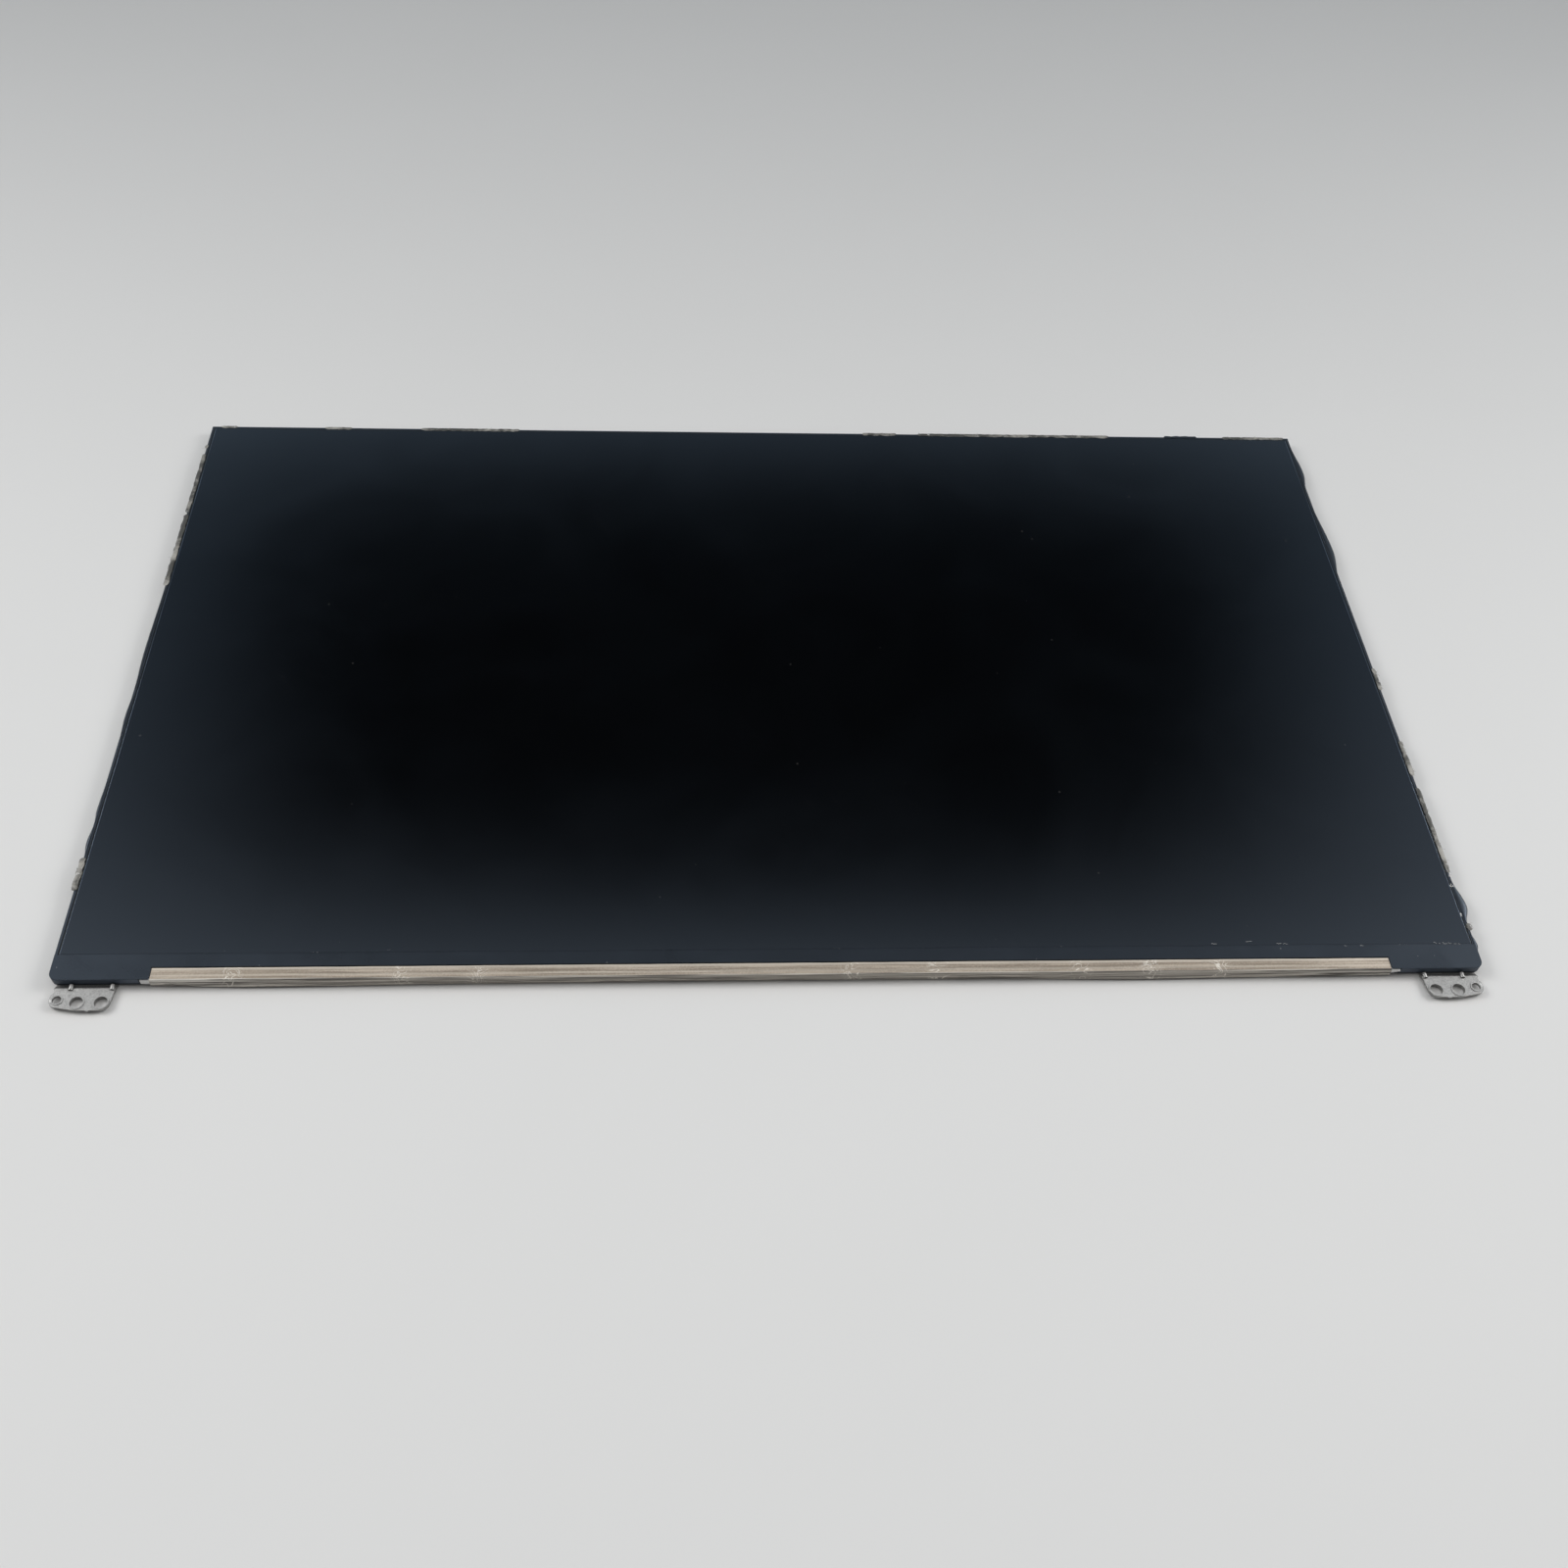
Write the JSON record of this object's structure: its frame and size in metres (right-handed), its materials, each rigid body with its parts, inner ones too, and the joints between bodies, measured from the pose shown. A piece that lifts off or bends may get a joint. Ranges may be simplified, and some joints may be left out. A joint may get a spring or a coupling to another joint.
{
  "type": "laptop screen panel",
  "caption": "Bare laptop display module: black antiglare face, conductive tape folded round the bottom edge, stamped screw brackets at the lower corners, torn tape and glue on its sides",
  "frame": {"origin": "centre of the lowest plane of the whole part, brackets counted", "axes": "+X to the right seen from the front, +Y up the picture, +Z straight out of the face"},
  "size_m": [0.3181, 0.1928, 0.0026],
  "materials": {
    "tray_steel": "satin galvanised sheet",
    "frame_plastic": "matte moulded black",
    "bracket_steel": "satin stamped sheet",
    "reflector_white": "matte white film",
    "guide_acrylic": "clear polished",
    "flex_white": "white solder mask",
    "led_phosphor": "clear yellow resin",
    "diffuser_film": "frosted film",
    "prism_film": "clear micro-ribbed film",
    "black_tape": "matte black tape",
    "rear_polarizer_film": "smooth dark film",
    "cell_glass": "thin clear glass",
    "antiglare_film": "antiglare near-black film",
    "mask_black": "matte black film",
    "polyimide_film": "amber film",
    "chip_black": "moulded black",
    "white_film": "white film",
    "conductive_cloth": "champagne metallised cloth",
    "board_mask": "green solder mask",
    "ferrite_grey": "dull grey",
    "capacitor_tan": "fired ceramic",
    "socket_beige": "moulded beige",
    "socket_black": "moulded black",
    "shell_steel": "bright tinned sheet",
    "contact_gold": "gold plated",
    "cover_black": "black film",
    "torn_black_tape": "torn black tape",
    "clear_glue": "cloudy clear glue"
  },
  "bodies": {
    "root": {"rear_tray": "tray_steel", "mold_frame": "frame_plastic", "left_bracket": "bracket_steel", "right_bracket": "bracket_steel", "reflector_sheet": "reflector_white", "light_guide": "guide_acrylic", "led_flex": "flex_white", "leds": "led_phosphor", "diffuser_sheet": "diffuser_film", "lower_prism": "prism_film", "upper_prism": "prism_film", "rim_tape": "black_tape", "rear_polarizer": "rear_polarizer_film", "tft_glass": "cell_glass", "color_filter_glass": "cell_glass", "front_polarizer": "antiglare_film", "mask_film": "mask_black", "driver_films": "polyimide_film", "driver_chips": "chip_black", "edge_film": "white_film", "conductive_tape": "conductive_cloth", "timing_board": "board_mask", "board_tape": "white_film", "timing_chip": "chip_black", "power_chip": "chip_black", "light_chip": "chip_black", "inductors": "ferrite_grey", "capacitors": "capacitor_tan", "light_socket": "socket_beige", "input_housing": "socket_black", "input_shell": "shell_steel", "input_contacts": "contact_gold", "board_cover": "cover_black", "left_tape": "torn_black_tape", "right_tape": "torn_black_tape", "left_glue": "clear_glue", "right_glue": "clear_glue", "top_glue": "clear_glue"}
  },
  "joints": []
}
